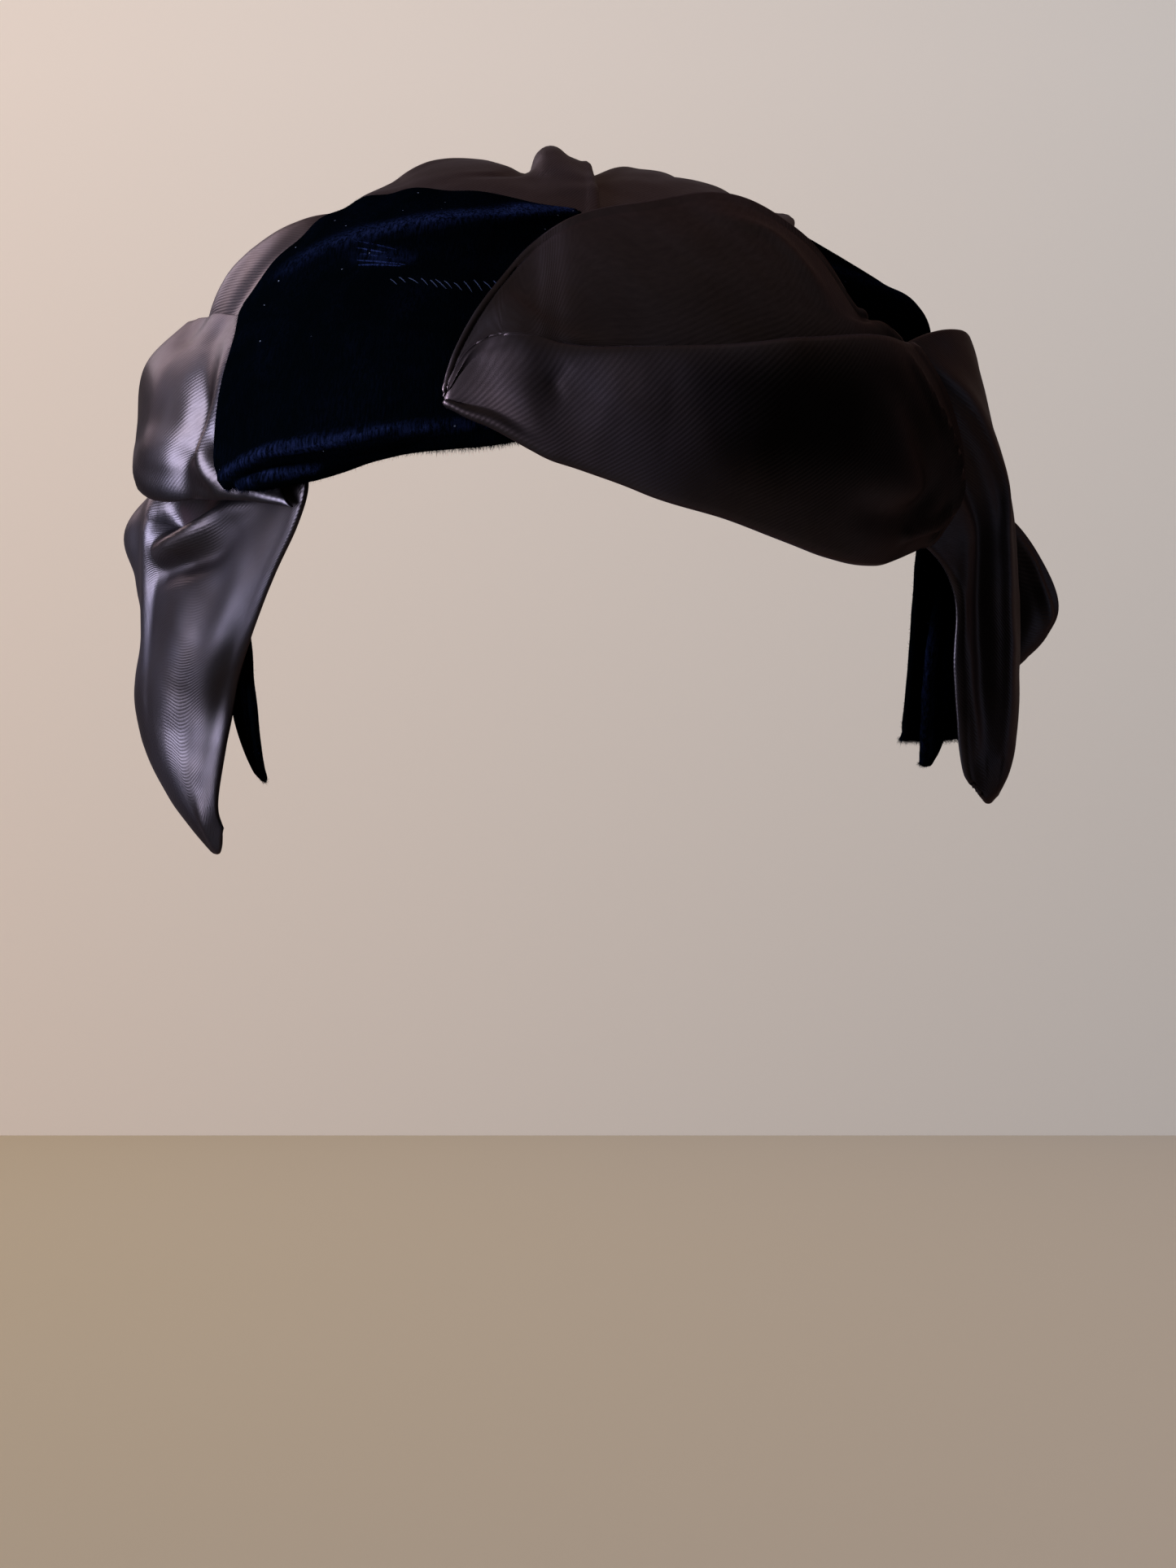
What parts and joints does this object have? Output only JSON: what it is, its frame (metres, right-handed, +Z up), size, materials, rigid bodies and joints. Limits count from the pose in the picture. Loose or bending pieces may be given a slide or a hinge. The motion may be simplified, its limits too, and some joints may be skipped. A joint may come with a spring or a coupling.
{
  "type": "half hat of draped satin and velvet leaves",
  "caption": "Half hat from ear to ear: folded satin and velvet leaves sewn over a velvet-covered cap, with satin tails that hang over the ears.",
  "frame": {"origin": "top of the cap's inside, where the hat sits on its wearer", "axes": "+Z up, -Y towards the wearer's face, +X towards the wearer's left ear, along the hat's longest extent"},
  "size_m": [0.2309, 0.1717, 0.1703],
  "materials": {
    "satin": "glossy brown-black satin with a lilac sheen",
    "velvet": "deep navy-black velvet, matt with a blue sheen along crushed ridges",
    "cap_velvet": "matt black velvet cover"
  },
  "bodies": {
    "root": {"cap": "cap_velvet", "velvet_ear_leaf": "velvet", "velvet_ear_point": "velvet", "velvet_shoulder_leaf": "velvet", "satin_back_band": "satin", "satin_crown_leaf": "satin", "satin_crown_loop": "satin", "satin_back_tail": "satin", "velvet_front_point": "velvet", "satin_right_tail": "satin", "satin_left_tail": "satin", "satin_left_puff": "satin", "velvet_front_panel": "velvet", "satin_front_leaf": "satin"}
  },
  "joints": []
}
